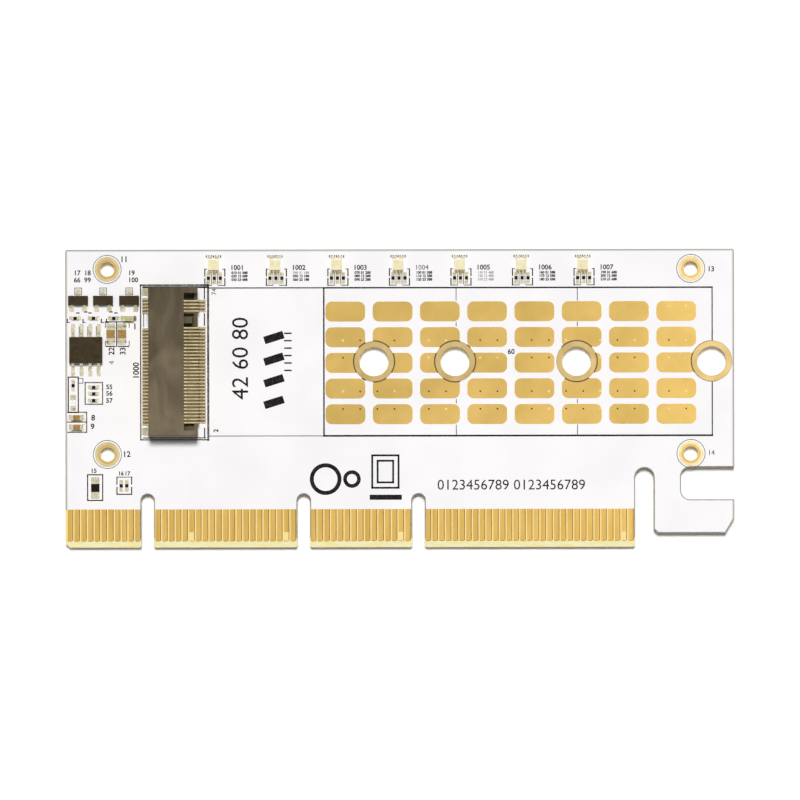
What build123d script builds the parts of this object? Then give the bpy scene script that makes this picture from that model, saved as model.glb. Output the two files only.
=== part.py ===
from build123d import *
import os
from math import radians, tan

# Board blank, millimetres
board_height = 44.1
board_thickness = 1.6
blank_corner_radius = 0.3

# Solder mask, copper and gold
mask_step = 0.04
pad_proud = 0.04

# Card edge: places are taken from the left edge, heights from the tongues' lower edge
notch_width = 1.9
notch_height = 7.9
key_notch_x = 12.15
second_notch_x = 35.25
third_notch_x = 52.25
tongue_end_x = 84.3
tongue_corner_radius = 0.3
tongue_corner_chamfer = 0.6
bevel_depth = 1.0
bevel_angle = 20.0

# Retention hook
hook_slot_width = 2.8
hook_slot_height = 11.7
hook_lift = 2.05
hook_heel_chamfer = 0.6
hook_toe_run = 1.3
hook_toe_rise = 2.2
hook_toe_height = 4.95
hook_arm_width = 4.0
hook_throat_height = 4.8
hook_throat_depth = 7.9
hook_throat_radius = 1.4

# Edge contacts
finger_pitch = 1.0
finger_width = 0.7
finger_foot = 0.98
finger_top = 5.65
short_finger_lift = 1.3
key_finger_count = 11
finger_count = 82
fingers_left_out = (33, 34, 50, 51)
front_short_fingers = (17, 31, 48, 81)
rear_short_fingers = (1,)
key_to_finger = 1.5

# Module holes and cooling pads: the module's axis is taken from the top edge
module_axis_drop = 16.6
module_edge_x = 15.7
module_lengths = (30.0, 42.0, 60.0, 80.0)
standoff_hole_diameter = 4.4
standoff_ring_diameter = 5.94
pad_column_count = 8
pad_row_count = 5
pad_pitch_x = 7.0
pad_pitch_y = 3.8
pad_length = 5.9
pad_width = 2.95
pad_corner_chamfer = 0.586
pad_grid_x = 65.95
pad_grid_drop = 0.2
pad_ring_clearance = 0.1

# Heat-sink holes
heatsink_spacing_x = 86.4
heatsink_top_inset = 2.9
heatsink_throat_rise = 2.0
heatsink_hole_diameter = 2.2
heatsink_ring_diameter = 3.7
heatsink_centre_x = 49.4

# Module socket: places along the card are taken from the housing's back wall
socket_back_x = 12.43
socket_depth = 7.17
socket_cheek = 0.85
socket_height = 4.2
socket_edge_chamfer = 0.2
slot_end_margin = 0.9
slot_floor = 2.4
slot_gap = 1.0
slot_stop_clearance = 0.1
upper_lip_reach = 5.23
upper_lip_chamfer = 0.3
lower_lip_chamfer = 0.35
key_rib_offset = 6.125
key_rib_width = 0.9
key_rib_overhang = 1.17
key_pocket_width = 2.0
end_pocket_width = 1.0
pocket_depth = 1.2
pocket_front_wall = 0.45

# Socket contacts
pin_pitch = 0.5
pin_count = 75
pins_left_out = range(59, 67)
middle_pin_number = 38
contact_width = 0.2
contact_thickness = 0.16
groove_width = 0.28
groove_depth = 0.35
groove_length = 3.3
groove_clearance = 0.05
upper_tail = 0.95
lower_tail = 1.1
wall_clearance = 0.02
contact_bump = 0.22
upper_bump_reach = 4.6
lower_bump_reach = 4.9
bump_run = 0.7
anchor_width = 1.1
anchor_length = 1.0
anchor_height = 1.2
anchor_thickness = 0.2
anchor_inset = 0.1

# Packages with gull-wing leads: places from the left edge and below the top edge
package_draft = 8.0
package_standoff = 0.1
regulator_x = 3.05
regulator_drop = 14.85
regulator_length = 4.9
regulator_width = 3.9
regulator_body_height = 1.45
regulator_lead_pitch = 1.27
regulator_lead_width = 0.42
regulator_lead_reach = 1.05
regulator_lead_foot = 0.55
regulator_lead_thickness = 0.2
regulator_side_lead_count = 4
transistor_places = (1.91, 5.6, 9.47)
transistor_drop = 7.5
transistor_length = 2.95
transistor_width = 1.4
transistor_body_height = 1.0
transistor_lead_offset = 0.95
transistor_lead_width = 0.42
transistor_lead_reach = 0.5
transistor_lead_foot = 0.3
transistor_lead_thickness = 0.12
lead_slope = 0.45

# Chip sizes: length, width, height, metal end
size_0402 = (1.0, 0.5, 0.35, 0.25)
size_0603 = (1.6, 0.8, 0.8, 0.3)
size_0603_flat = (1.6, 0.8, 0.55, 0.35)
size_0805 = (2.0, 1.25, 0.9, 0.4)
size_0805_flat = (2.0, 1.25, 0.55, 0.4)
chip_skin = 0.02

# Chip places: from the left edge and below the top edge
filter_capacitor_spots = ((6.73, 12.5), (8.39, 12.5))
bypass_capacitor_spots = ((1.68, 24.84), (1.68, 26.25))
gate_capacitor_spot = (9.35, 10.2)
indicator_lamp_spot = (1.14, 22.65)
level_resistor_spots = (
    (1.47, 10.13), (4.18, 10.13), (7.19, 10.13),
    (4.2, 20.36), (4.2, 21.3), (4.2, 22.3),
)
upright_resistor_spots = ((1.14, 20.1),)

# Chip places near the card edge: from the left edge and above the tongues' lower edge
zero_ohm_link_spot = (4.4, 8.85)
edge_resistor_spots = ((8.24, 9.16), (9.06, 9.16))

# Lamp row along the top edge
lamp_count = 7
first_lamp_x = 21.95
lamp_pitch = 9.11
lamp_inset = 2.3
lamp_length = 1.6
lamp_base_width = 1.8
lamp_base_height = 0.25
lens_length = 1.6
lens_width = 1.55
lens_height = 0.4
lens_draft = 5.0
lamp_resistor_drop = 1.95
lamp_resistor_pitch = 0.88
lamp_resistor_shift = 0.13
lamp_resistor_count = 3

# Derived places
board_length = tongue_end_x + hook_slot_width + hook_arm_width + hook_throat_depth
left = -board_length / 2
bottom = -board_height / 2
top = board_height / 2
module_axis = top - module_axis_drop
hook_bottom = bottom + hook_lift
throat_bottom = hook_bottom + hook_toe_height
heatsink_lower_row = throat_bottom + hook_throat_height + heatsink_throat_rise
heatsink_places = [
    (left + heatsink_centre_x + side * heatsink_spacing_x / 2, y)
    for side in (-1, 1)
    for y in (heatsink_lower_row, top - heatsink_top_inset)
]
standoff_places = [(left + module_edge_x + length, module_axis) for length in module_lengths]
socket_back = left + socket_back_x
socket_front = socket_back + socket_depth
slot_stop = left + module_edge_x - slot_stop_clearance
slot_width = (pin_count - 1) * pin_pitch / 2 + 2 * slot_end_margin
socket_width = slot_width + 2 * socket_cheek
slot_roof = slot_floor + slot_gap
front_face = Plane.XY.offset(board_thickness)

os.makedirs("parts", exist_ok=True)


def write(part, name):
    part.label = name
    export_step(part, f"parts/{name}.step")


def below_top(x, drop):
    return (left + x, top - drop)


def above_edge(x, height):
    return (left + x, bottom + height)


def finger_x(number):
    """Place of a contact on its tongue, counted from the key notch."""
    if number <= key_finger_count:
        steps = number - key_finger_count
        return left + key_notch_x - key_to_finger + steps * finger_pitch
    steps = number - key_finger_count - 1
    return left + key_notch_x + key_to_finger + steps * finger_pitch


def pin_y(number):
    """Contacts stand at alternate half pitches in the two rows."""
    return module_axis + (number - middle_pin_number) * pin_pitch / 2


pin_numbers = [number for number in range(1, pin_count + 1) if number not in pins_left_out]
upper_pins = pin_numbers[::2]
lower_pins = pin_numbers[1::2]


# Circuit board: outline with notches, slot and hook, then bevel, mask steps and holes
with BuildPart() as circuit_board:
    with BuildSketch() as outline:
        Rectangle(board_length, board_height)
        fillet(outline.vertices().group_by(Axis.Y)[-1], blank_corner_radius)
        for notch_x, width, height in (
            (key_notch_x, notch_width, notch_height),
            (second_notch_x, notch_width, notch_height),
            (third_notch_x, notch_width, notch_height),
            (tongue_end_x + hook_slot_width / 2, hook_slot_width, hook_slot_height),
        ):
            with Locations((left + notch_x, bottom)):
                Rectangle(width, height - width / 2, align=(Align.CENTER, Align.MIN), mode=Mode.SUBTRACT)
            with Locations((left + notch_x, bottom + height - width / 2)):
                Circle(width / 2, mode=Mode.SUBTRACT)
        with Locations((left + tongue_end_x, bottom)):
            Rectangle(
                board_length - tongue_end_x, hook_lift, align=(Align.MIN, Align.MIN), mode=Mode.SUBTRACT
            )
        Polygon(
            (-left - hook_toe_run, hook_bottom),
            (-left, hook_bottom),
            (-left, hook_bottom + hook_toe_rise),
            align=None,
            mode=Mode.SUBTRACT,
        )
        throat_middle = throat_bottom + hook_throat_height / 2
        with Locations((left + tongue_end_x + hook_slot_width + hook_arm_width, throat_middle)):
            RectangleRounded(
                hook_throat_depth + 2 * hook_throat_radius,
                hook_throat_height,
                hook_throat_radius,
                align=(Align.MIN, Align.CENTER),
                mode=Mode.SUBTRACT,
            )
        heel = outline.vertices().sort_by_distance((left + tongue_end_x + hook_slot_width, hook_bottom))[0]
        chamfer(heel, hook_heel_chamfer)
        tongue_corners = outline.vertices().group_by(Axis.Y)[0].sort_by(Axis.X)
        chamfer(tongue_corners[0], tongue_corner_chamfer)
        tongue_corners = outline.vertices().group_by(Axis.Y)[0].sort_by(Axis.X)
        fillet(tongue_corners[1:], tongue_corner_radius)
    extrude(amount=board_thickness)

    tongue_middle = left + tongue_end_x / 2
    bevel_rise = bevel_depth * tan(radians(bevel_angle))
    with BuildSketch(Plane.YZ.offset(tongue_middle)):
        for face_height, side in ((0, 1), (board_thickness, -1)):
            skin = face_height + side * mask_step
            Polygon(
                (bottom, face_height),
                (bottom + finger_top, face_height),
                (bottom + finger_top, skin),
                (bottom + bevel_depth, skin),
                (bottom, skin + side * bevel_rise),
                align=None,
            )
    extrude(amount=(tongue_end_x + hook_slot_width) / 2, both=True, mode=Mode.SUBTRACT)

    with BuildSketch():
        with Locations(*standoff_places):
            Circle(standoff_hole_diameter / 2)
        with Locations(*heatsink_places):
            Circle(heatsink_hole_diameter / 2)
    extrude(amount=board_thickness, mode=Mode.SUBTRACT)
write(circuit_board.part, "circuit_board")


# Gold edge contacts, flush with the mask on both faces
for name, underside, short_fingers in (
    ("edge_contacts_front", board_thickness - mask_step, front_short_fingers),
    ("edge_contacts_rear", 0, rear_short_fingers),
):
    with BuildPart() as edge_contacts:
        with BuildSketch(Plane.XY.offset(underside)):
            for number in range(1, finger_count + 1):
                if number in fingers_left_out:
                    continue
                foot = finger_foot + (short_finger_lift if number in short_fingers else 0)
                with Locations((finger_x(number), bottom + foot)):
                    Rectangle(finger_width, finger_top - foot, align=(Align.CENTER, Align.MIN))
        extrude(amount=mask_step)
    write(edge_contacts.part, name)


# Cooling pads, cut clear of the rims round the holes
with BuildPart() as cooling_pads:
    with BuildSketch(front_face) as pad_grid:
        with Locations((left + pad_grid_x, module_axis - pad_grid_drop)):
            with GridLocations(pad_pitch_x, pad_pitch_y, pad_column_count, pad_row_count):
                Rectangle(pad_length, pad_width)
        chamfer(pad_grid.vertices(), pad_corner_chamfer)
        with Locations(*standoff_places):
            Circle(standoff_ring_diameter / 2 + pad_ring_clearance, mode=Mode.SUBTRACT)
        with Locations(*heatsink_places):
            Circle(heatsink_ring_diameter / 2 + pad_ring_clearance, mode=Mode.SUBTRACT)
    extrude(amount=pad_proud)
write(cooling_pads.part, "cooling_pads")


# Plated rims round the holes of the component side
for name, places, hole_diameter, ring_diameter in (
    ("standoff_hole_plating", standoff_places, standoff_hole_diameter, standoff_ring_diameter),
    ("heatsink_hole_plating", heatsink_places, heatsink_hole_diameter, heatsink_ring_diameter),
):
    with BuildPart() as rims:
        with BuildSketch(front_face):
            with Locations(*places):
                Circle(ring_diameter / 2)
                Circle(hole_diameter / 2, mode=Mode.SUBTRACT)
        extrude(amount=pad_proud)
    write(rims.part, name)


# Socket housing: closed back, slot between two lips, shorter upper lip, key rib
with BuildPart() as socket_housing:
    with BuildSketch(front_face):
        with Locations((socket_back, module_axis)):
            Rectangle(socket_depth, socket_width, align=(Align.MIN, Align.CENTER))
    extrude(amount=socket_height)
    chamfer(socket_housing.faces().sort_by(Axis.Z)[-1].edges(), socket_edge_chamfer)

    floor_z = board_thickness + slot_floor
    roof_z = board_thickness + slot_roof
    crest_z = board_thickness + socket_height
    lip_end = socket_back + upper_lip_reach
    with BuildSketch(Plane.XZ.offset(-module_axis)):
        Polygon(
            (slot_stop, floor_z),
            (socket_front - lower_lip_chamfer, floor_z),
            (socket_front, floor_z - lower_lip_chamfer),
            (socket_front, crest_z),
            (lip_end, crest_z),
            (lip_end, roof_z + upper_lip_chamfer),
            (lip_end - upper_lip_chamfer, roof_z),
            (slot_stop, roof_z),
            align=None,
        )
    extrude(amount=slot_width / 2, both=True, mode=Mode.SUBTRACT)

    pocket_length = socket_front - pocket_front_wall - slot_stop
    pocket_shift = slot_width / 2 - end_pocket_width / 2
    with BuildSketch(Plane.XY.offset(floor_z)):
        for shift, width in (
            (-pocket_shift, end_pocket_width),
            (key_rib_offset, key_pocket_width),
            (pocket_shift, end_pocket_width),
        ):
            with Locations((slot_stop, module_axis + shift)):
                Rectangle(pocket_length, width, align=(Align.MIN, Align.CENTER))
    extrude(amount=-pocket_depth, mode=Mode.SUBTRACT)

    with BuildSketch(Plane.XY.offset(floor_z - pocket_depth)):
        with Locations((slot_stop, module_axis + key_rib_offset)):
            Rectangle(
                lip_end + key_rib_overhang - slot_stop, key_rib_width, align=(Align.MIN, Align.CENTER)
            )
    extrude(amount=roof_z - floor_z + pocket_depth)

    with BuildSketch(Plane.XY.offset(floor_z)):
        with Locations(*[(socket_front, pin_y(number)) for number in lower_pins]):
            Rectangle(groove_length, groove_width, align=(Align.MAX, Align.CENTER))
    extrude(amount=-groove_depth, mode=Mode.SUBTRACT)

    upper_groove_length = lip_end - upper_lip_chamfer - socket_back
    with BuildSketch(Plane.XY.offset(roof_z)):
        with Locations(*[(socket_back, pin_y(number)) for number in upper_pins]):
            Rectangle(upper_groove_length, groove_width, align=(Align.MIN, Align.CENTER))
    extrude(amount=groove_depth, mode=Mode.SUBTRACT)
write(socket_housing.part, "socket_housing")


# One contact of each row, bent from strip: tail on the board, riser, beam with a bump
half_strip = contact_thickness / 2
foot_z = board_thickness + half_strip
upper_riser = socket_back - wall_clearance - half_strip
upper_beam_z = roof_z + groove_depth - groove_clearance - half_strip
upper_bump_z = upper_beam_z - groove_depth + groove_clearance - contact_bump + half_strip
lower_riser = socket_front + wall_clearance + half_strip
lower_beam_z = floor_z - groove_depth + groove_clearance + half_strip
lower_bump_z = lower_beam_z + groove_depth - groove_clearance + contact_bump - half_strip
upper_bump_x = socket_back + upper_bump_reach
lower_bump_x = socket_back + lower_bump_reach

with BuildPart() as upper_contact:
    with BuildSketch(Plane.XZ):
        with BuildLine():
            Polyline(
                (upper_riser - upper_tail, foot_z),
                (upper_riser, foot_z),
                (upper_riser, upper_beam_z),
                (upper_bump_x - bump_run, upper_beam_z),
                (upper_bump_x, upper_bump_z),
            )
        trace(line_width=contact_thickness)
    extrude(amount=contact_width / 2, both=True)

with BuildPart() as lower_contact:
    with BuildSketch(Plane.XZ):
        with BuildLine():
            Polyline(
                (lower_riser + lower_tail, foot_z),
                (lower_riser, foot_z),
                (lower_riser, lower_beam_z),
                (lower_bump_x + bump_run, lower_beam_z),
                (lower_bump_x, lower_bump_z),
            )
        trace(line_width=contact_thickness)
    extrude(amount=contact_width / 2, both=True)

for name, contact, row_pins in (
    ("socket_upper_contacts", upper_contact, upper_pins),
    ("socket_lower_contacts", lower_contact, lower_pins),
):
    with BuildPart() as contact_row:
        with Locations(*[(0, pin_y(number), 0) for number in row_pins]):
            add(contact.part)
    write(contact_row.part, name)


# Solder anchors: angle pieces at the two ends of the back wall
with BuildPart() as socket_anchors:
    anchor_shift = socket_width / 2 - anchor_inset - anchor_width / 2
    for side in (-1, 1):
        with BuildSketch(Plane.XZ.offset(-module_axis - side * anchor_shift)):
            Polygon(
                (socket_back, board_thickness),
                (socket_back, board_thickness + anchor_height),
                (socket_back - anchor_thickness, board_thickness + anchor_height),
                (socket_back - anchor_thickness, board_thickness + anchor_thickness),
                (socket_back - anchor_length, board_thickness + anchor_thickness),
                (socket_back - anchor_length, board_thickness),
                align=None,
            )
        extrude(amount=anchor_width / 2, both=True)
write(socket_anchors.part, "socket_anchors")


def write_package_body(name, x, drop, length, width, height):
    """Moulded body that tapers up and down from its parting line."""
    middle = board_thickness + package_standoff + height / 2
    with BuildPart() as body:
        with BuildSketch(Plane.XY.offset(middle)):
            with Locations(below_top(x, drop)):
                Rectangle(length, width)
        extrude(amount=height / 2, both=True, taper=package_draft)
    write(body.part, name)


def write_gull_wing_leads(name, places, lead_width, reach, foot, thickness, body_height):
    """Leads that leave the parting line, slope down and end flat on the board.

    places holds the distance from the left edge, the distance below the top edge
    and the outward direction along Y of each lead.
    """
    rise = package_standoff + body_height / 2 - thickness / 2
    shoulder = (reach - foot) * (1 - lead_slope)
    with BuildPart() as leads:
        for x, drop, outward in places:
            lead_plane = Plane(
                origin=(left + x, top - drop, board_thickness),
                x_dir=(0, outward, 0),
                z_dir=(outward, 0, 0),
            )
            with BuildSketch(lead_plane):
                Polygon(
                    (0, rise),
                    (shoulder, rise),
                    (reach - foot, 0),
                    (reach, 0),
                    (reach, thickness),
                    (reach - foot + thickness / 2, thickness),
                    (shoulder + thickness / 2, rise + thickness),
                    (0, rise + thickness),
                    align=None,
                )
            extrude(amount=lead_width / 2, both=True)
    write(leads.part, name)


write_package_body(
    "regulator_body", regulator_x, regulator_drop, regulator_length, regulator_width, regulator_body_height
)
regulator_lead_row = [
    (step - (regulator_side_lead_count - 1) / 2) * regulator_lead_pitch
    for step in range(regulator_side_lead_count)
]
write_gull_wing_leads(
    "regulator_leads",
    [
        (regulator_x + shift, regulator_drop - outward * regulator_width / 2, outward)
        for outward in (-1, 1)
        for shift in regulator_lead_row
    ],
    regulator_lead_width,
    regulator_lead_reach,
    regulator_lead_foot,
    regulator_lead_thickness,
    regulator_body_height,
)

for index, transistor_x in enumerate(transistor_places, start=1):
    write_package_body(
        f"transistor_{index}_body",
        transistor_x,
        transistor_drop,
        transistor_length,
        transistor_width,
        transistor_body_height,
    )
    write_gull_wing_leads(
        f"transistor_{index}_leads",
        [
            (transistor_x, transistor_drop - transistor_width / 2, 1),
            (transistor_x - transistor_lead_offset, transistor_drop + transistor_width / 2, -1),
            (transistor_x + transistor_lead_offset, transistor_drop + transistor_width / 2, -1),
        ],
        transistor_lead_width,
        transistor_lead_reach,
        transistor_lead_foot,
        transistor_lead_thickness,
        transistor_body_height,
    )


def chip_bodies(places, size, upright):
    """Ceramic blocks between their metal ends."""
    length, width, height, end = size
    core = (length - 2 * end, width - 2 * chip_skin)
    with BuildPart() as bodies:
        with BuildSketch(Plane.XY.offset(board_thickness + chip_skin)):
            with Locations(*places):
                Rectangle(*(core[::-1] if upright else core))
        extrude(amount=height - 2 * chip_skin)
    return bodies.part


def chip_ends(places, size, upright):
    """Plated metal caps at both ends of each block."""
    length, width, height, end = size
    centre = (length - end) / 2
    cap = (width, end) if upright else (end, width)
    with BuildPart() as ends:
        with BuildSketch(front_face):
            for x, y in places:
                for side in (-centre, centre):
                    with Locations((x, y + side) if upright else (x + side, y)):
                        Rectangle(*cap)
        extrude(amount=height)
    return ends.part


filter_capacitors = [below_top(x, drop) for x, drop in filter_capacitor_spots]
bypass_capacitors = [below_top(x, drop) for x, drop in bypass_capacitor_spots]
for name, places, size, upright in (
    ("filter_capacitor_1", filter_capacitors[:1], size_0805, True),
    ("filter_capacitor_2", filter_capacitors[1:], size_0805, True),
    ("bypass_capacitor_1", bypass_capacitors[:1], size_0603, False),
    ("bypass_capacitor_2", bypass_capacitors[1:], size_0603, False),
    ("gate_capacitor", [below_top(*gate_capacitor_spot)], size_0603, False),
    ("zero_ohm_link", [above_edge(*zero_ohm_link_spot)], size_0805_flat, True),
    ("indicator_lamp", [below_top(*indicator_lamp_spot)], size_0603_flat, True),
):
    write(chip_bodies(places, size, upright), f"{name}_body")
    write(chip_ends(places, size, upright), f"{name}_ends")

level_resistors = [below_top(x, drop) for x, drop in level_resistor_spots]
upright_resistors = [below_top(x, drop) for x, drop in upright_resistor_spots]
upright_resistors += [above_edge(x, height) for x, height in edge_resistor_spots]
for name, make in (("resistor_bodies", chip_bodies), ("resistor_ends", chip_ends)):
    with BuildPart() as resistors:
        add(make(level_resistors, size_0402, False))
        add(make(upright_resistors, size_0402, True))
    write(resistors.part, name)


# Lamp row: base, lens and three series resistors a lamp
all_lamp_resistors = []
for index in range(lamp_count):
    lamp_x = first_lamp_x + index * lamp_pitch
    lamp_place = below_top(lamp_x, lamp_inset)
    with BuildPart() as lamp_base:
        with BuildSketch(front_face):
            with Locations(lamp_place):
                Rectangle(lamp_length, lamp_base_width)
        extrude(amount=lamp_base_height)
    write(lamp_base.part, f"lamp_{index + 1}_base")

    with BuildPart() as lamp_lens:
        with BuildSketch(Plane.XY.offset(board_thickness + lamp_base_height)):
            with Locations(lamp_place):
                Rectangle(lens_length, lens_width)
        extrude(amount=lens_height, taper=lens_draft)
    write(lamp_lens.part, f"lamp_{index + 1}_lens")

    middle_step = (lamp_resistor_count - 1) / 2
    resistor_places = [
        below_top(
            lamp_x + lamp_resistor_shift + (step - middle_step) * lamp_resistor_pitch,
            lamp_inset + lamp_resistor_drop,
        )
        for step in range(lamp_resistor_count)
    ]
    all_lamp_resistors += resistor_places
    write(chip_bodies(resistor_places, size_0402, True), f"lamp_{index + 1}_resistors")
write(chip_ends(all_lamp_resistors, size_0402, True), "lamp_resistor_ends")
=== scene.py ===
import math

import bpy
import numpy as np
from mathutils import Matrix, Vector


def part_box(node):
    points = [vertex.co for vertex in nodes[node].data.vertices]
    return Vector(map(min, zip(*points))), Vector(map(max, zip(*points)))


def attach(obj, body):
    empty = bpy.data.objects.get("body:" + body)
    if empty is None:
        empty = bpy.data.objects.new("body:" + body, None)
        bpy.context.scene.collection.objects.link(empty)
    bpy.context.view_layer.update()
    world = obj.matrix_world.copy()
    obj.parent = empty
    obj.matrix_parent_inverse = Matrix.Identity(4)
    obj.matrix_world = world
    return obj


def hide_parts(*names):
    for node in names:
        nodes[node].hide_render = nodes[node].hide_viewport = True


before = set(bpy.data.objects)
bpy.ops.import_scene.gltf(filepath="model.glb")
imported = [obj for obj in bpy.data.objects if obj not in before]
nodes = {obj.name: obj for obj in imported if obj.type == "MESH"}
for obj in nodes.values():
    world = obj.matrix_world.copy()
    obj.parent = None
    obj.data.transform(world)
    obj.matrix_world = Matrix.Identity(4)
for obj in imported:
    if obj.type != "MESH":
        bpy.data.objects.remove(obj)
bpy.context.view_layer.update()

mm = 0.001
boardLow, boardHigh = (np.array(corner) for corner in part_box("circuit_board"))
socketLow, socketHigh = (np.array(corner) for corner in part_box("socket_housing"))
faceZ = boardHigh[2]
padTopZ = float(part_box("cooling_pads")[1][2])
rng = np.random.default_rng(7)
print("frame loaded:", len(nodes), "nodes")


# places on the card: millimetres from its left edge and from its lower edge
def spot(x, y):
    return boardLow[0] + np.asarray(x) * mm, boardLow[1] + np.asarray(y) * mm


def newObject(name, data):
    added = bpy.data.objects.new(name, data)
    bpy.context.scene.collection.objects.link(added)
    return added


def newPiece(name, points, faces, material, slotName="white_solder_mask", roundedTo=None):
    mesh = bpy.data.meshes.new(name)
    mesh.from_pydata(np.asarray(points, float).reshape(-1, 3).tolist(), [], faces)
    mesh.validate()
    mesh.update()
    piece = newObject(name, mesh)
    mesh.materials.append(material)
    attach(piece, "root")
    # edges flatter than this angle in degrees are shaded round
    if roundedTo:
        mesh.polygons.foreach_set("use_smooth", [True] * len(mesh.polygons))
        mesh.set_sharp_from_angle(angle=math.radians(roundedTo))
    return piece


# closed shells with the same quads, each shell one row of points
def joinShells(shells, quads):
    count, size = shells.shape[:2]
    steps = np.arange(count)[:, None, None] * size
    return shells.reshape(-1, 3), (steps + np.asarray(quads)[None]).reshape(-1, len(quads[0])).tolist()


# Materials
def srgb(code):
    values = np.array([int(code[i:i + 2], 16) / 255 for i in (1, 3, 5)])
    linear = np.where(values <= 0.04045, values / 12.92, ((values + 0.055) / 1.055) ** 2.4)
    return (*linear.tolist(), 1.0)


def addNode(tree, kind, settings=None, inputs=None):
    node = tree.nodes.new(kind)
    for key, value in (settings or {}).items():
        setattr(node, key, value)
    for key, value in (inputs or {}).items():
        if isinstance(value, bpy.types.NodeSocket):
            tree.links.new(value, node.inputs[key])
        else:
            node.inputs[key].default_value = value
    return node


def mathNode(tree, operation, *values):
    return addNode(tree, "ShaderNodeMath", {"operation": operation}, dict(enumerate(values))).outputs[0]


def mixNode(tree, factor, low, high):
    return addNode(tree, "ShaderNodeMix", {"data_type": "RGBA"}, {0: factor, 6: low, 7: high}).outputs[2]


def rangeNode(tree, value, fromMin, fromMax, toMin=0.0, toMax=1.0):
    node = addNode(tree, "ShaderNodeMapRange", inputs={
        "Value": value, "From Min": fromMin, "From Max": fromMax, "To Min": toMin, "To Max": toMax})
    return node.outputs["Result"]


def noiseNode(tree, place, grainMm, detail, **more):
    inputs = {"Vector": place, "Scale": 1 / (grainMm * mm), "Detail": detail, **more}
    return addNode(tree, "ShaderNodeTexNoise", inputs=inputs).outputs["Fac"]


def newMaterial(name, **shader):
    material = bpy.data.materials.new(name)
    material.use_nodes = True
    tree = material.node_tree
    bsdf = tree.nodes["Principled BSDF"]
    for key, value in shader.items():
        bsdf.inputs[key.replace("_", " ")].default_value = value
    place = addNode(tree, "ShaderNodeTexCoord").outputs["Object"]
    return material, tree, bsdf, place


# colour wanders between two hex values with a noise of the given grain
def mottle(tree, place, low, high, grainMm, detail=3.0, spread=(0.35, 0.65)):
    noise = noiseNode(tree, place, grainMm, detail, Roughness=0.55)
    ramp = addNode(tree, "ShaderNodeValToRGB", inputs={"Fac": noise})
    for index, code in enumerate((low, high)):
        ramp.color_ramp.elements[index].position = spread[index]
        ramp.color_ramp.elements[index].color = srgb(code)
    return ramp.outputs["Color"]


# fine relief: height in millimetres from a noise of the given grain
def grain(tree, bsdf, place, grainMm, heightMm, strength=1.0, detail=2.0):
    noise = noiseNode(tree, place, grainMm, detail)
    bump = addNode(tree, "ShaderNodeBump", inputs={
        "Height": noise, "Distance": heightMm * mm, "Strength": strength})
    tree.links.new(bump.outputs["Normal"], bsdf.inputs["Normal"])


# roughness wanders too, so that gloss breaks up as on a real surface
def uneven(tree, bsdf, place, low, high, grainMm):
    noise = noiseNode(tree, place, grainMm, 4.0)
    tree.links.new(rangeNode(tree, noise, 0.3, 0.7, low, high), bsdf.inputs["Roughness"])


# a plain finish: colour, gloss and fine relief, each from a noise of its own grain
def makeFinish(name, shader, colour, gloss, relief):
    material, tree, bsdf, place = newMaterial(name, **shader)
    tree.links.new(mottle(tree, place, *colour), bsdf.inputs["Base Color"])
    uneven(tree, bsdf, place, *gloss)
    grain(tree, bsdf, place, *relief)
    return material


# glass-epoxy laminate under white solder mask: satin mask on the faces, bare resin at the cut edges, with
# painted shade on the upright walls and in a grey line round the outer edges
boardLook = {
    "mask": "#FAF8F8", "maskShade": "#F5F3F4", "edge": "#FEEDA0", "edgeFibre": "#FFFACE",
    "wall": "#A2967A", "wallFibre": "#BDB194", "gap": "#F6DE98", "rim": "#96938A",
    "maskTop": 0.775, "gapTop": 0.74, "gloss": (0.3, 0.42), "blotch": 9.0, "cloth": 0.2,
    "streak": (0.12, 0.6, 1.0), "bevelNormal": 0.3, "rimWidth": 0.36, "rimFade": 0.3,
}


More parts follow.
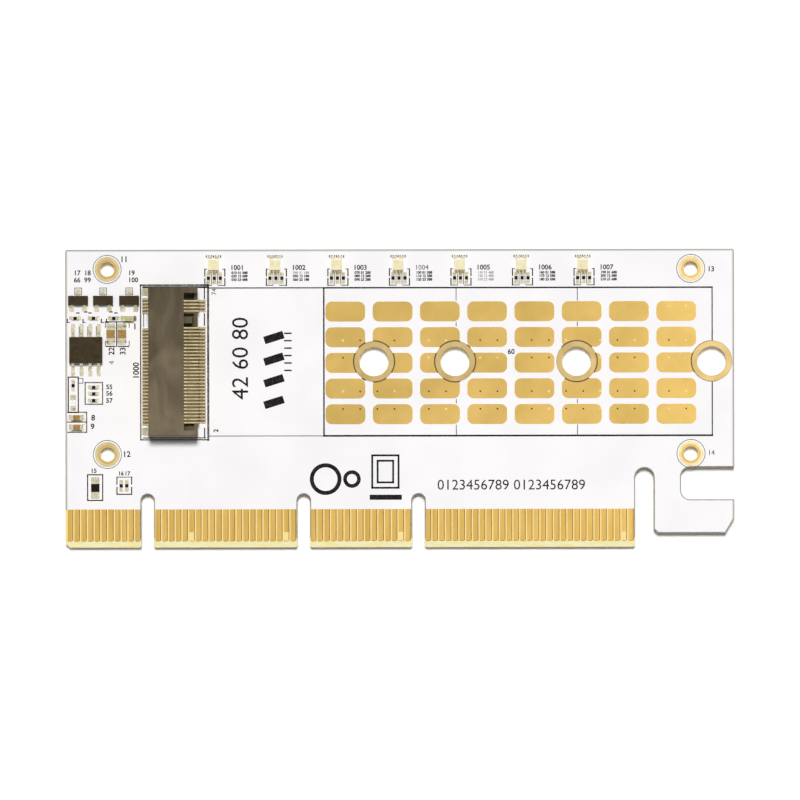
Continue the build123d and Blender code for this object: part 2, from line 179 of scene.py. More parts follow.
def makeBoardMaterial():
    look = boardLook
    material, tree, bsdf, place = newMaterial("satin white solder mask on laminate", IOR=1.5)
    axes = addNode(tree, "ShaderNodeSeparateXYZ", inputs={"Vector": place})
    # heights count from the middle of the board, because both faces are alike: the mask on top, and
    # the bare face of the laminate one step lower, where it shows between the edge contacts
    level = mathNode(tree, "ABSOLUTE", mathNode(tree, "SUBTRACT", axes.outputs["Z"], float(faceZ) / 2))
    aboveGap = mathNode(tree, "GREATER_THAN", level, look["gapTop"] * mm)
    aboveMask = mathNode(tree, "GREATER_THAN", level, look["maskTop"] * mm)
    # glass cloth shows at the cut edge as short streaks along the board, about 0.2 mm apart
    stretch = addNode(tree, "ShaderNodeMapping", inputs={"Vector": place, "Scale": look["streak"]})
    cloth = stretch.outputs["Vector"]
    edgeColour = mottle(tree, cloth, look["edge"], look["edgeFibre"], look["cloth"])
    wallShadeColour = mottle(tree, cloth, look["wall"], look["wallFibre"], look["cloth"])
    # the bevel is ground and pale, the upright routed walls are rougher, and darker as painted shade
    facing = addNode(tree, "ShaderNodeSeparateXYZ", inputs={"Vector": place.node.outputs["Normal"]})
    slope = mathNode(tree, "ABSOLUTE", facing.outputs["Z"])
    ground = mathNode(tree, "GREATER_THAN", slope, look["bevelNormal"])
    cutColour = mixNode(tree, ground, wallShadeColour, edgeColour)
    maskColour = mottle(tree, place, look["maskShade"], look["mask"], look["blotch"], 2.0)
    edgeOrGap = mixNode(tree, aboveGap, cutColour, srgb(look["gap"]))
    everything = mixNode(tree, aboveMask, edgeOrGap, maskColour)
    # the mask ends a little inside the routed outline, so a line of bare laminate frames the card, coloured
    # grey as painted edge shade
    side = mathNode(tree, "ABSOLUTE", axes.outputs["X"])
    sideGap = mathNode(tree, "SUBTRACT", side, float(boardHigh[0]))
    topGap = mathNode(tree, "SUBTRACT", axes.outputs["Y"], float(boardHigh[1]))
    nearest = mathNode(tree, "MAXIMUM", sideGap, topGap)
    rim = rangeNode(tree, nearest, -look["rimWidth"] * mm, (look["rimFade"] - look["rimWidth"]) * mm)
    onFace = mathNode(tree, "MULTIPLY", rim, aboveMask)
    framed = mixNode(tree, onFace, everything, srgb(look["rim"]))
    tree.links.new(framed, bsdf.inputs["Base Color"])
    uneven(tree, bsdf, place, *look["gloss"], 1.5)
    grain(tree, bsdf, place, 0.6, 0.004, 0.5)
    return material


# metal plated over copper: soft sheen, faint blotches and dents, drawn out in y where along is below 1
def makePlatingMaterial(name, low, high, blotchMm, rough, dent=0.001, along=1.0):
    material, tree, bsdf, place = newMaterial(name, Metallic=1.0)
    drawn = addNode(tree, "ShaderNodeMapping", inputs={"Vector": place, "Scale": (1.0, along, 1.0)})
    colour = mottle(tree, drawn.outputs["Vector"], low, high, blotchMm, 3.0, (0.3, 0.7))
    tree.links.new(colour, bsdf.inputs["Base Color"])
    uneven(tree, bsdf, place, *rough, blotchMm / 3)
    grain(tree, bsdf, drawn.outputs["Vector"], 3.0, dent, 0.4, 0.0)
    return material


# liquid crystal polymer, moulded: matt brown-grey with faint flow marks along the part
socketLook = {"low": "#3B3023", "high": "#7C7059", "flow": 4.0, "drift": 0.5, "spread": (0.22, 0.8),
              "start": (0.003, 0.0085, 0.002), "stretch": (1.0, 0.5, 1.0)}


def makeSocketMaterial():
    look = socketLook
    material, tree, bsdf, place = newMaterial("moulded liquid crystal polymer", IOR=1.6,
                                              Specular_IOR_Level=0.3)
    flow = addNode(tree, "ShaderNodeMapping", inputs={
        "Vector": place, "Location": look["start"], "Scale": look["stretch"]}).outputs["Vector"]
    swirl = noiseNode(tree, flow, look["flow"], 4.0, Distortion=0.8)
    marks = rangeNode(tree, swirl, *look["spread"])
    # the socket grows paler towards its lower end
    axes = addNode(tree, "ShaderNodeSeparateXYZ", inputs={"Vector": place})
    drift = rangeNode(tree, axes.outputs["Y"], float(socketHigh[1]), float(socketLow[1]),
                      -look["drift"] / 2, look["drift"] / 2)
    total = mathNode(tree, "ADD", marks, drift)
    tree.links.new(mixNode(tree, total, srgb(look["low"]), srgb(look["high"])), bsdf.inputs["Base Color"])
    uneven(tree, bsdf, place, 0.58, 0.7, 0.8)
    grain(tree, bsdf, flow, 0.3, 0.006, 0.5, 4.0)
    return material


# moulded black epoxy: matt, fine grain from the spark-eroded mould
def makeEpoxyMaterial():
    return makeFinish("moulded epoxy package", {"IOR": 1.55, "Specular_IOR_Level": 0.25},
                      ("#33291A", "#403524", 0.6, 3.0), (0.72, 0.82, 0.4), (0.12, 0.004, 0.5))


# fired ceramic, bare laminate, resin and dull copper: one smooth tone with darker specks
def makeSpeckledMaterial(name, low, high):
    return makeFinish(name, {"IOR": 1.6}, (low, high, 0.35, 4.0), (0.3, 0.45, 0.3), (0.08, 0.003, 0.6))


# clear epoxy over the lamp's dice: pale yellow, glossy, soft inside
def makeLensMaterial():
    inside = {"Subsurface_Weight": 0.35, "Subsurface_Radius": (0.6 * mm, 0.5 * mm, 0.3 * mm)}
    return makeFinish("pale yellow lamp resin", {"IOR": 1.53, **inside},
                      ("#EEE0AC", "#F5EBCA", 0.7, 2.0), (0.12, 0.25, 0.6), (0.5, 0.004, 0.4))


# screen ink: thin and matt, with gaps where it did not take
def makeInkMaterial(name, dark, worn):
    return makeFinish(name, {"IOR": 1.5, "Specular_IOR_Level": 0.2},
                      (dark, worn, 0.35, 3.0, (0.42, 0.75)), (0.68, 0.82, 0.3), (0.1, 0.002, 0.6))


boardMaterial = makeBoardMaterial()
goldMaterial = makePlatingMaterial("immersion gold", "#C9A85C", "#DFBA6C", 7.0, (0.27, 0.31))
ringMaterial = makePlatingMaterial("immersion gold on hole rims", "#D2BE8C", "#E4D2A6", 1.0, (0.3, 0.36))
rimMaterial = makePlatingMaterial("immersion gold on module hole rims", "#BEA166", "#D6BB80", 2.5,
                                  (0.3, 0.36))
fingerMaterial = makePlatingMaterial("hard gold on edge contacts", "#CFA653", "#E3BD6B", 0.9, (0.28, 0.33),
                                     dent=0.0006, along=0.1)
stripMaterial = makePlatingMaterial("gold-flashed contact strip", "#C2AE78", "#E2D3A2", 1.2, (0.3, 0.4))
tinMaterial = makePlatingMaterial("matt tin plate", "#BDB495", "#E0D9C0", 0.5, (0.42, 0.5), dent=0.0005)
solderMaterial = makePlatingMaterial("reflowed solder", "#C4BC9F", "#E8E2CE", 0.5, (0.42, 0.5), dent=0.0005)
socketMaterial = makeSocketMaterial()
epoxyMaterial = makeEpoxyMaterial()
brownMaterial = makeSpeckledMaterial("brown capacitor ceramic", "#86662E", "#AE894B")
paleMaterial = makeSpeckledMaterial("pale green capacitor ceramic", "#A7A26B", "#C1BC8B")
coatMaterial = makeInkMaterial("black resistor overcoat", "#0C0A08", "#1A1713")
whiteLampMaterial = makeSpeckledMaterial("white lamp laminate", "#ECEADF", "#FBFAF2")
lensMaterial = makeLensMaterial()
inkMaterial = makeInkMaterial("dark screen ink", "#0B0A09", "#33312F")
greyInkMaterial = makeInkMaterial("grey screen ink", "#45423F", "#96938F")
# bare laminate in the mask windows, dark brown as painted shade
shadedLaminateMaterial = makeSpeckledMaterial("bare laminate between solder lands in painted shade", "#63502A", "#8A7142")
plugMaterial = makeSpeckledMaterial("pale yellow via resin", "#E2C676", "#F4DF9C")
fluxMaterial = makeSpeckledMaterial("amber flux residue", "#7A5A2A", "#A8864A")
# grey lines at the cut edges: bare laminate, darkened as painted shade
routedEdgeShadeMaterial = makeSpeckledMaterial("bare laminate along the routed edge in painted shade", "#78756D", "#99958B")
# dark brown for the shaded copper walls and cut ends of the contacts: painted shade
shadeMaterial = makeSpeckledMaterial("painted shade on the contacts' copper walls and ends", "#6B4A16", "#94702E")
# dark brown arcs round the module hole rims: painted shade
rimShadeMaterial = makeSpeckledMaterial("painted shade round the module hole rims", "#3E2A0C", "#64461A")
edgeLineMaterial = makeSpeckledMaterial("dull copper edge of the module hole rims", "#6A5322", "#8C7440")

# a node takes the first material that has an ending of its name
nodeMaterials = (
    (boardMaterial, ("circuit_board",)), (fingerMaterial, ("contacts_front", "contacts_rear")),
    (goldMaterial, ("cooling_pads",)), (rimMaterial, ("standoff_hole_plating",)),
    (ringMaterial, ("heatsink_hole_plating",)), (socketMaterial, ("socket_housing",)),
    (stripMaterial, ("upper_contacts", "lower_contacts")), (tinMaterial, ("_anchors", "_leads", "_ends")),
    (brownMaterial, ("capacitor_1_body", "capacitor_2_body")), (paleMaterial, ("gate_capacitor_body",)),
    (coatMaterial, ("link_body", "resistor_bodies", "_resistors")), (lensMaterial, ("_lens",)),
    (whiteLampMaterial, ("indicator_lamp_body", "_base")), (epoxyMaterial, ("_body",)),
)
for name, node in nodes.items():
    material = next(material for material, endings in nodeMaterials if name.endswith(endings))
    node.data.materials.clear()
    node.data.materials.append(material)
print("materials set on", len(nodes), "nodes")


# Printed lines: module outline and part outlines
# each line is a thin closed bar, given by its two ends and its width in millimetres
printed = {"lift": 0.012, "thin": 0.11, "line": 0.17, "frame": 0.221, "heavy": 0.26, "widest": 0.312}
inkBase = faceZ + 0.002 * mm


def barShells(segments, base=inkBase, lift=printed["lift"]):
    bars = np.asarray(segments, float)
    start = np.stack(spot(bars[:, 0], bars[:, 1]), 1)
    end = np.stack(spot(bars[:, 2], bars[:, 3]), 1)
    along = (end - start) / np.linalg.norm(end - start, axis=1)[:, None]
    half = bars[:, 4:5] * mm / 2
    across = np.stack([-along[:, 1], along[:, 0]], 1) * half
    start, end = start - along * half, end + along * half
    corners = np.stack([start + across, start - across, end - across, end + across], 1)
    low = np.concatenate([corners, np.full(corners.shape[:2] + (1,), base)], 2)
    high = low + (0, 0, lift * mm)
    quads = [(3, 2, 1, 0), (4, 5, 6, 7), (0, 1, 5, 4), (1, 2, 6, 5), (2, 3, 7, 6), (3, 0, 4, 7)]
    return joinShells(np.concatenate([low, high], 1), quads)


# a profile carried once round an upright axis: radius and height of each corner, in millimetres
# a closed profile makes a ring, and an open one gets a cap at both its ends
def turned(x, y, profile, steps=64, closed=True):
    count = len(profile)
    angle = np.linspace(0, 2 * np.pi, steps, endpoint=False)[:, None]
    radius, height = np.array(profile).T * mm
    centreX, centreY = spot(x, y)
    points = np.stack([centreX + radius * np.cos(angle), centreY + radius * np.sin(angle),
                       np.broadcast_to(height, (steps, count))], 2)
    i, j = np.meshgrid(np.arange(steps), np.arange(count if closed else count - 1), indexing="ij")
    nextI, nextJ = (i + 1) % steps, (j + 1) % count
    quads = np.stack([i * count + j, nextI * count + j, nextI * count + nextJ, i * count + nextJ], 2)
    faces = quads.reshape(-1, 4).tolist()
    if not closed:
        around = np.arange(steps) * count
        faces += [(around + count - 1).tolist(), around[::-1].tolist()]
    return points.reshape(-1, 3), faces


# low and high are heights in millimetres, and a ring without them is printed
def flatRing(x, y, inner, outer, low=inkBase / mm, high=inkBase / mm + printed["lift"]):
    return turned(x, y, [(inner, low), (outer, low), (outer, high), (inner, high)])


def joinMeshes(parts):
    points, faces, offset = [], [], 0
    for partPoints, partFaces in parts:
        points.append(partPoints)
        faces += [[index + offset for index in face] for face in partFaces]
        offset += len(partPoints)
    return np.concatenate(points), faces


def frameLines(x0, y0, x1, y1, width):
    return [(x0, y0, x1, y0, width), (x0, y1, x1, y1, width),
            (x0, y0, x0, y1, width), (x1, y0, x1, y1, width)]


modulePrint = {
    "top": 38.42, "bottom": 16.5, "left": 21.2, "division": 38.27, "right": 95.76,
    "holes": (45.7, 57.7, 75.7, 95.7), "axis": 27.5, "shortOutlines": (57.86, 75.8),
    "smallHoles": ((6.2, 13.8), (6.2, 41.2), (92.6, 13.8), (92.6, 41.2)),
    "padMargin": 0.15, "ringOverlap": 0.6,
}
pads = {"centre": (65.95, 27.3), "pitch": (7.0, 3.8), "columns": 8, "rows": 5, "half": (2.95, 1.475),
        "corner": 0.95, "ring": 3.07, "edge": 0.003}
padXs = pads["centre"][0] + (np.arange(pads["columns"]) - (pads["columns"] - 1) / 2) * pads["pitch"][0]
padYs = pads["centre"][1] + (np.arange(pads["rows"]) - (pads["rows"] - 1) / 2) * pads["pitch"][1]


def moduleLines():
    look = modulePrint
    line, frameLine, thin = printed["line"], printed["frame"], printed["thin"]
    top, bottom = look["top"], look["bottom"]
    left, division, right = look["left"], look["division"], look["right"]
    ringTop, ringBottom = look["axis"] + pads["ring"], look["axis"] - pads["ring"]
    lines = [
        (left, top, division, top, line), (division, top, right, top, frameLine),
        (left, bottom, division, bottom, thin), (division, bottom, right, bottom, printed["heavy"]),
        (division, bottom, division, top, frameLine),
        (right, bottom, right, ringBottom, line), (right, ringTop, right, top, line),
    ]
    # the shorter module outlines show only between the rows of pads
    edges = np.concatenate([[bottom], np.repeat(padYs, 2), [top]])
    edges[1:-1] += np.tile([-1, 1], len(padYs)) * (pads["half"][1] + look["padMargin"])
    gaps = edges.reshape(-1, 2)
    overlap = look["ringOverlap"]
    gaps = gaps[(gaps[:, 0] > ringTop - overlap) | (gaps[:, 1] < ringBottom + overlap)]
    lines += [(x, low, x, high, thin) for x in look["shortOutlines"] for low, high in gaps]
    return lines


partPrint = {
    "socket": (11.15, 15.95, 21.14, 38.85), "socketRight": 20.6, "socketKey": (32.9, 34.6),
    "socketInset": 0.4, "socketTop": 0.3, "socketFoot": 0.28, "socketStubs": ((0.35, 1.7), (-2.0, -0.4)),
    "keyLine": (0.45, -0.2, 0.1), "link": (3.26, 7.0, 5.49, 10.8), "pair": (7.6, 7.9, 9.78, 10.44),
    "nick": 0.25, "trio": (2.92, 21.24, 5.5, 24.45), "column": (0.43, 20.03, 1.9, 25.26), "tab": (0.9, 0.7),
    "bypassXs": (0.35, 3.13), "bypassRows": (17.1, 18.6, 20.06),
    "filterXs": (5.92, 7.6, 9.45), "filterYs": (29.8, 33.43), "filterNick": (30.6, 32.6),
    "filterOver": 0.3, "filterStep": 0.1, "filterInset": 0.15,
    "resistorXs": (0.3, 2.62, 5.33, 6.1), "resistorY": 33.35, "resistorMark": (0.35, 0.45), "dashHalf": 0.17,
    "dashes": ((1.85, 34.75), (3.03, 34.9), (3.66, 34.75), (6.76, 34.9), (7.48, 34.75)),
    "lamps": 7, "lampFirst": 21.95, "lampPitch": 9.11, "lampHalf": 1.48, "lampYs": (38.8, 41.2),
    "lampShift": 0.2, "lampOpening": 0.5, "lampNick": 0.2, "lampHook": 0.3,
    "trioHalf": 0.44, "trioShift": 0.13, "trioYs": (38.95, 40.7),
    "tickXs": (-1.05, -0.72, -0.3, 0.0, 0.3, 0.72, 1.05), "tickYs": (42.98, 43.18),
    "leadGaps": (2.05, 3.32, 4.59), "leadGapYs": (31.3, 32.7),
    "tabLandXs": (1.91, 5.6, 9.47), "tabLandHalf": 0.5, "tabLandYs": (37.45, 38.45),
}
lampXs = partPrint["lampFirst"] + np.arange(partPrint["lamps"]) * partPrint["lampPitch"]


def darkPartLines():
    look = partPrint
    line, thin, heavy = printed["line"], printed["thin"], printed["heavy"]
    x0, y0, x1, y1 = look["socket"]
    keyLow, keyHigh = look["socketKey"]
    topY = y1 - look["socketTop"]
    lines = [(x0, y0, x0, y1, line), (x0, y0, x1, y0, line),
             (x0 + look["socketInset"], topY, x1, topY, heavy)]
    (footLow, footHigh), (headLow, headHigh) = look["socketStubs"]
    stubs = ((y0 + footLow, y0 + footHigh), (keyLow, keyHigh), (y1 + headLow, y1 + headHigh))
    lines += [(look["socketRight"], low, look["socketRight"], high, line) for low, high in stubs]
    keyX, below, above = look["keyLine"]
    lines.append((x0 + keyX, keyLow + below, x0 + keyX, keyHigh + above, thin))
    lines += frameLines(*look["link"], line) + frameLines(*look["column"], line)
    # the box round the pair of resistors is nicked at half height
    nick = look["nick"]
    x0, y0, x1, y1 = look["pair"]
    middle = (y0 + y1) / 2
    lines += [(x0, y0, x1, y0, line), (x0, y1, x1, y1, thin)]
    lines += [(x, low, x, high, line) for x in (x0, x1)
              for low, high in ((y0, middle - nick), (middle + nick, y1))]
    # the capacitors' outline is open on its outer sides
    left, middle, right = look["filterXs"]
    low, high = look["filterYs"]
    nickLow, nickHigh = look["filterNick"]
    inset, step = look["filterInset"], look["filterStep"]
    lines += [(middle, low, middle, high, line), (left, high, right + look["filterOver"], high, line)]
    lines += [(x, a, x, b, thin) for x in (left, right)
              for a, b in ((low + step, nickLow), (nickHigh, high))]
    lines += [(left + inset, low, middle - nick, low, line), (middle + nick, low, right - step, low, line)]
    lines += [(x - look["dashHalf"], y, x + look["dashHalf"], y, line) for x, y in look["dashes"]]
    markX, markY = look["resistorMark"]
    for x in look["resistorXs"]:
        lines += [(x, look["resistorY"], x, look["resistorY"] + markY, line),
                  (x, look["resistorY"], x + markX, look["resistorY"], thin)]
    # one box a lamp, open at the middle of its foot and top, and nicked at half height
    half, opening, nick = look["lampHalf"], look["lampOpening"], look["lampNick"]
    low, high = look["lampYs"]
    middle = (low + high) / 2
    for x in lampXs + look["lampShift"]:
        lines += [(x - half, low, x - opening, low, thin), (x + opening, low, x + half, low, thin)]
        for side in (-1, 1):
            edge = x + side * half
            lines += [(edge, low, edge, middle - nick, line), (edge, middle + nick, edge, high, line),
                      (edge, high, x + side * (half - look["lampHook"]), high, thin)]
    return lines


def greyPartLines():
    look = partPrint
    line, thin = printed["line"], printed["thin"]
    x0, y0, x1, y1 = look["socket"]
    inset, footY = look["socketInset"], y0 + look["socketFoot"]
    lines = [(x0, y1, x1, y1, printed["heavy"]), (x1, y0, x1, y1, printed["widest"]),
             (x0 + inset, footY, x1 - inset, footY, line)]
    lines += frameLines(*look["trio"], line)
    left, right = look["bypassXs"]
    lines += [(left, y, right, y, line) for y in look["bypassRows"]]
    lines.append((right, look["bypassRows"][0], right, look["bypassRows"][-1], line))
    drop, size = look["tab"]
    right, tabY = look["column"][2], look["column"][3] - drop
    lines += [(right, tabY, right + size, tabY, thin), (right, tabY + size, right + size, tabY + size, thin),
              (right + size, tabY, right + size, tabY + size, thin)]
    low, high = look["tickYs"]
    lines += [(x + shift, low, x + shift, high, line) for x in lampXs for shift in look["tickXs"]]
    # thin lines beside the regulator's upper lands and between the lamps' resistors
    low, high = look["leadGapYs"]
    lines += [(x, low, x, high, thin) for x in look["leadGaps"]]
    low, high = look["trioYs"]
    lines += [(x + shift, low, x + shift, high, thin)
              for x in lampXs + look["trioShift"] for shift in (-look["trioHalf"], look["trioHalf"])]
    # solder land outlines above the transistors
    low, high = look["tabLandYs"]
    for x in look["tabLandXs"]:
        lines += frameLines(x - look["tabLandHalf"], low, x + look["tabLandHalf"], high, thin)
    return lines


# a flat strip of even width along a path of points, closed at both ends
def strip(path, width, base, lift):
    points = np.asarray(path, float)
    along = np.gradient(points, axis=0)
    along /= np.linalg.norm(along, axis=1)[:, None]
    across = np.stack([-along[:, 1], along[:, 0]], 1) * width / 2
    left, right = np.stack(spot(*(points + across).T), 1), np.stack(spot(*(points - across).T), 1)
    top = base + lift * mm
    corners = [np.column_stack([side, np.full(len(side), z)])
               for side, z in ((right, base), (left, base), (left, top), (right, top))]
    i, j = np.meshgrid(np.arange(len(points) - 1) * 4, np.arange(4), indexing="ij")
    after = (j + 1) % 4
    quads = np.stack([i + j, i + after, i + 4 + after, i + 4 + j], 2).reshape(-1, 4).tolist()
    last = len(points) * 4 - 4
    quads += [[0, 3, 2, 1], [last, last + 1, last + 2, last + 3]]
    return np.stack(corners, 1).reshape(-1, 3), quads


def arcPoints(x, y, radius, first, last, steps=12):
    angle = np.radians(np.linspace(first, last, steps))
    return np.stack([x + radius * np.cos(angle), y + radius * np.sin(angle)], 1)


# each hole's rim: dark circles of painted shade where it crosses a pad, and a hair line between the pads
# cross and dark give a line's radius and width, hair and small its inner and outer radius
rimPrint = {"cross": (3.04, 0.19), "crossSteps": 121, "crossMargin": 0.1, "crossLift": 0.012,
            "hair": (2.955, 3.02), "dark": (3.01, 0.11), "darkAngles": (95, 285), "darkSteps": 60,
            "darkLift": 0.02, "small": (2.03, 2.13)}


def crossingArcs(radius, steps, margin):
    arcs = []
    for holeX in modulePrint["holes"]:
        points = arcPoints(holeX, modulePrint["axis"], radius, 0, 360, steps)
        onColumn = np.abs(points[:, :1] - padXs).min(1) < pads["half"][0] + margin
        onRow = np.abs(points[:, 1:] - padYs).min(1) < pads["half"][1] + margin
        onPad = onColumn & onRow
        changes = np.flatnonzero(np.diff(onPad.astype(int))) + 1
        arcs += [run for run, kept in zip(np.split(points, changes), np.split(onPad, changes))
                 if kept[0] and len(run) > 1]
    return arcs


newPiece("module_outline_print", *barShells(moduleLines()), inkMaterial)
newPiece("part_outline_print", *barShells(darkPartLines()), inkMaterial)
newPiece("pale_outline_print", *barShells(greyPartLines()), greyInkMaterial)
radius, width = rimPrint["cross"]
crossLift = (padTopZ - faceZ) / mm + rimPrint["crossLift"]
arcs = [strip(path, width, faceZ, crossLift)
        for path in crossingArcs(radius, rimPrint["crossSteps"], rimPrint["crossMargin"])]
newPiece("module_hole_arcs", *joinMeshes(arcs), rimShadeMaterial)
hairLines = [flatRing(x, modulePrint["axis"], *rimPrint["hair"]) for x in modulePrint["holes"]]
newPiece("module_hole_hair_lines", *joinMeshes(hairLines), edgeLineMaterial)
# the last rim has a darker line of painted shade on its left half
radius, width = rimPrint["dark"]
darkHalf = arcPoints(modulePrint["holes"][-1], modulePrint["axis"], radius, *rimPrint["darkAngles"],
                     rimPrint["darkSteps"])
newPiece("last_hole_line", *strip(darkHalf, width, faceZ, rimPrint["darkLift"]), rimShadeMaterial)
circles = [flatRing(x, y, *rimPrint["small"]) for x, y in modulePrint["smallHoles"]]
newPiece("small_hole_circles", *joinMeshes(circles), greyInkMaterial)
print("outline print done")

# a grey line follows each notch and the hook: bare laminate where the mask stops short, darkened as painted
# shade at the cut edge
routed = {"notches": (12.15, 35.25, 52.25), "notchHalf": 0.95, "notchTop": 7.9, "foot": 1.35,
          "slotX": 85.7, "slotHalf": 1.4, "slotTop": 11.7, "heel": ((87.17, 2.7), (87.74, 2.12)),
          "toe": ((97.66, 2.12), (98.9, 4.25)), "throatLow": 7.0, "throatHigh": 11.8, "throatLeft": 91.1,
          "corner": 1.4, "right": 98.9, "width": 0.14, "sink": 0.045, "height": 0.05}


def notchPath(x, half, top, leftFoot, rightFoot):
    reach = half + routed["width"] / 2
    return np.concatenate([[(x - reach, leftFoot)], arcPoints(x, top - half, reach, 180, 0),
                           [(x + reach, rightFoot)]])


inset, corner = routed["width"] / 2, routed["corner"]
throatX = routed["throatLeft"] + corner
paths = [notchPath(x, routed["notchHalf"], routed["notchTop"], routed["foot"], routed["foot"])
         for x in routed["notches"]]
paths.append(notchPath(routed["slotX"], routed["slotHalf"], routed["slotTop"], routed["foot"],
                       routed["heel"][0][1]))
hook = [*routed["heel"], *routed["toe"]]
paths += [np.array(ends) for ends in zip(hook[:-1], hook[1:])]
paths.append(np.concatenate([
    [(routed["right"], routed["throatHigh"] + inset)],
    arcPoints(throatX, routed["throatHigh"] - corner, corner + inset, 90, 180),
    arcPoints(throatX, routed["throatLow"] + corner, corner + inset, 180, 270),
    [(routed["right"], routed["throatLow"] - inset)]]))
strips = [strip(path, routed["width"], faceZ - routed["sink"] * mm, routed["height"]) for path in paths]
newPiece("routed_edge_lines", *joinMeshes(strips), routedEdgeShadeMaterial)
print("routed edge lines done:", len(strips))


# Plain numbers and shapes stand where the card carries its lettering
# each number: text, x and y of its middle, height in millimetres, quarter turns
numbers = {
    "places": [
        ("1", 10.3, 32.7, 0.9, 0), ("22", 6.87, 29.1, 0.85, 1), ("33", 8.54, 29.1, 0.85, 1),
        ("4", 6.87, 27.4, 0.8, 1), ("1000", 10.5, 26.2, 0.9, 1), ("55", 6.49, 23.76, 0.7, 0),
        ("56", 6.49, 22.8, 0.7, 0), ("57", 6.49, 21.75, 0.7, 0), ("8", 4.1, 19.2, 0.85, 0),
        ("9", 4.0, 17.9, 0.85, 0), ("74", 22.05, 37.85, 0.7, 1), ("2", 22.3, 17.3, 0.7, 1),
        ("11", 8.7, 42.65, 0.85, 0), ("12", 9.05, 13.8, 0.85, 0), ("13", 95.6, 41.1, 0.75, 0),
        ("14", 95.6, 13.9, 0.75, 0), ("15", 4.17, 11.35, 0.65, 0), ("16", 8.2, 10.95, 0.6, 0),
        ("17", 9.15, 10.95, 0.6, 0), ("60", 66.0, 28.9, 0.75, 0), ("17", 1.75, 40.65, 0.72, 0),
        ("18", 3.3, 40.65, 0.72, 0), ("66", 1.75, 39.6, 0.72, 0), ("99", 3.3, 39.6, 0.72, 0),
        ("19", 9.8, 40.65, 0.72, 0), ("100", 10.05, 39.6, 0.72, 0),
        ("0123456789 0123456789", 66.0, 9.15, 1.55, 0),
        ("42 60 80", 26.0, 28.0, 2.5, 1),
    ],
    "thickness": 0.006, "boldness": 0.025, "sizeToHeight": 1.38, "lampX": 3.5, "lampY": 41.4,
    "lampHeight": 0.74, "rowX": 0.35, "rowYs": (40.65, 40.15, 39.62), "rowHeight": 0.38,
}


def numberMesh(text, x, y, height, turns):
    curve = bpy.data.curves.new("number", "FONT")
    curve.body = text
    curve.size = height * mm * numbers["sizeToHeight"]
    curve.align_x, curve.align_y = "CENTER", "CENTER"
    curve.resolution_u = 3
    curve.extrude = numbers["thickness"] * mm
    # the font's 4 fills up when it is made bolder, so a number with a 4 stays plain
    curve.offset = 0 if "4" in text else numbers["boldness"] * mm
    label = newObject("number", curve)
    bpy.context.view_layer.update()
    mesh = bpy.data.meshes.new_from_object(label.evaluated_get(bpy.context.evaluated_depsgraph_get()))
    points = np.zeros(len(mesh.vertices) * 3)
    mesh.vertices.foreach_get("co", points)
    points = points.reshape(-1, 3)
    faces = [list(face.vertices) for face in mesh.polygons]
    angle = turns * np.pi / 2
    cos, sin = np.cos(angle), np.sin(angle)
    placed = np.stack([points[:, 0] * cos - points[:, 1] * sin, points[:, 0] * sin + points[:, 1] * cos,
                       points[:, 2]], 1)
    placed += (*spot(x, y), inkBase + numbers["thickness"] * mm)
    bpy.data.objects.remove(label)
    bpy.data.curves.remove(curve)
    bpy.data.meshes.remove(mesh)
    return placed, faces


lampLabels = []
for index, x in enumerate(lampXs + numbers["lampX"]):
    lampLabels.append((str(1001 + index), x, numbers["lampY"], numbers["lampHeight"], 0))
    for row, y in enumerate(numbers["rowYs"]):
        label = f"{30 * index + 10 * row + 10:03d} {row}{row + 1} {index}88"
        lampLabels.append((label, x + numbers["rowX"], y, numbers["rowHeight"], 0))
labelParts = [numberMesh(*place) for place in numbers["places"] + lampLabels]
newPiece("plain_number_print", *joinMeshes(labelParts), inkMaterial)

# plain shapes: slanted bars, short lines, rings, squares and a bar
shapes = {
    "slanted": {"x": (30.0, 31.75), "ys": (21.2, 24.4, 27.6, 30.8), "rise": 0.55, "width": 1.15},
    "short": {"x": (32.5, 33.4), "ys": (26.2, 27.3, 28.4, 29.5, 30.6, 31.7), "width": 0.22},
    "rings": ((38.5, 10.1, 1.75, 2.35), (42.4, 10.1, 0.75, 1.3)),
    "squares": ((45.4, 8.8, 49.3, 13.6), (46.2, 9.6, 48.5, 12.8)), "stroke": 0.28,
    "bar": (45.4, 7.4, 49.4, 7.4), "barWidth": 0.75,
}
look, (left, right) = shapes["slanted"], shapes["slanted"]["x"]
heavyBars = [(left, y, right, y + look["rise"], look["width"]) for y in look["ys"]]
heavyBars.append((*shapes["bar"], shapes["barWidth"]))
look, (left, right) = shapes["short"], shapes["short"]["x"]
thinBars = [(left, y, right, y, look["width"]) for y in look["ys"]]
thinBars += [line for square in shapes["squares"] for line in frameLines(*square, shapes["stroke"])]
marks = [barShells(heavyBars + thinBars)] + [flatRing(*ring) for ring in shapes["rings"]]
newPiece("plain_shape_print", *joinMeshes(marks), inkMaterial)
print("numbers and shapes done")


# Cooling pads with round corners: a plate on a grid of two parameters, s along the pad's run
# and t from its low edge to its high edge, with both edges cut back where a hole's rim comes near
def edgeDistance(s, half, other, corner):
    inside = np.clip(np.abs(s) - (half - corner), 0, corner)
    return other - corner + np.sqrt(corner ** 2 - inside ** 2)


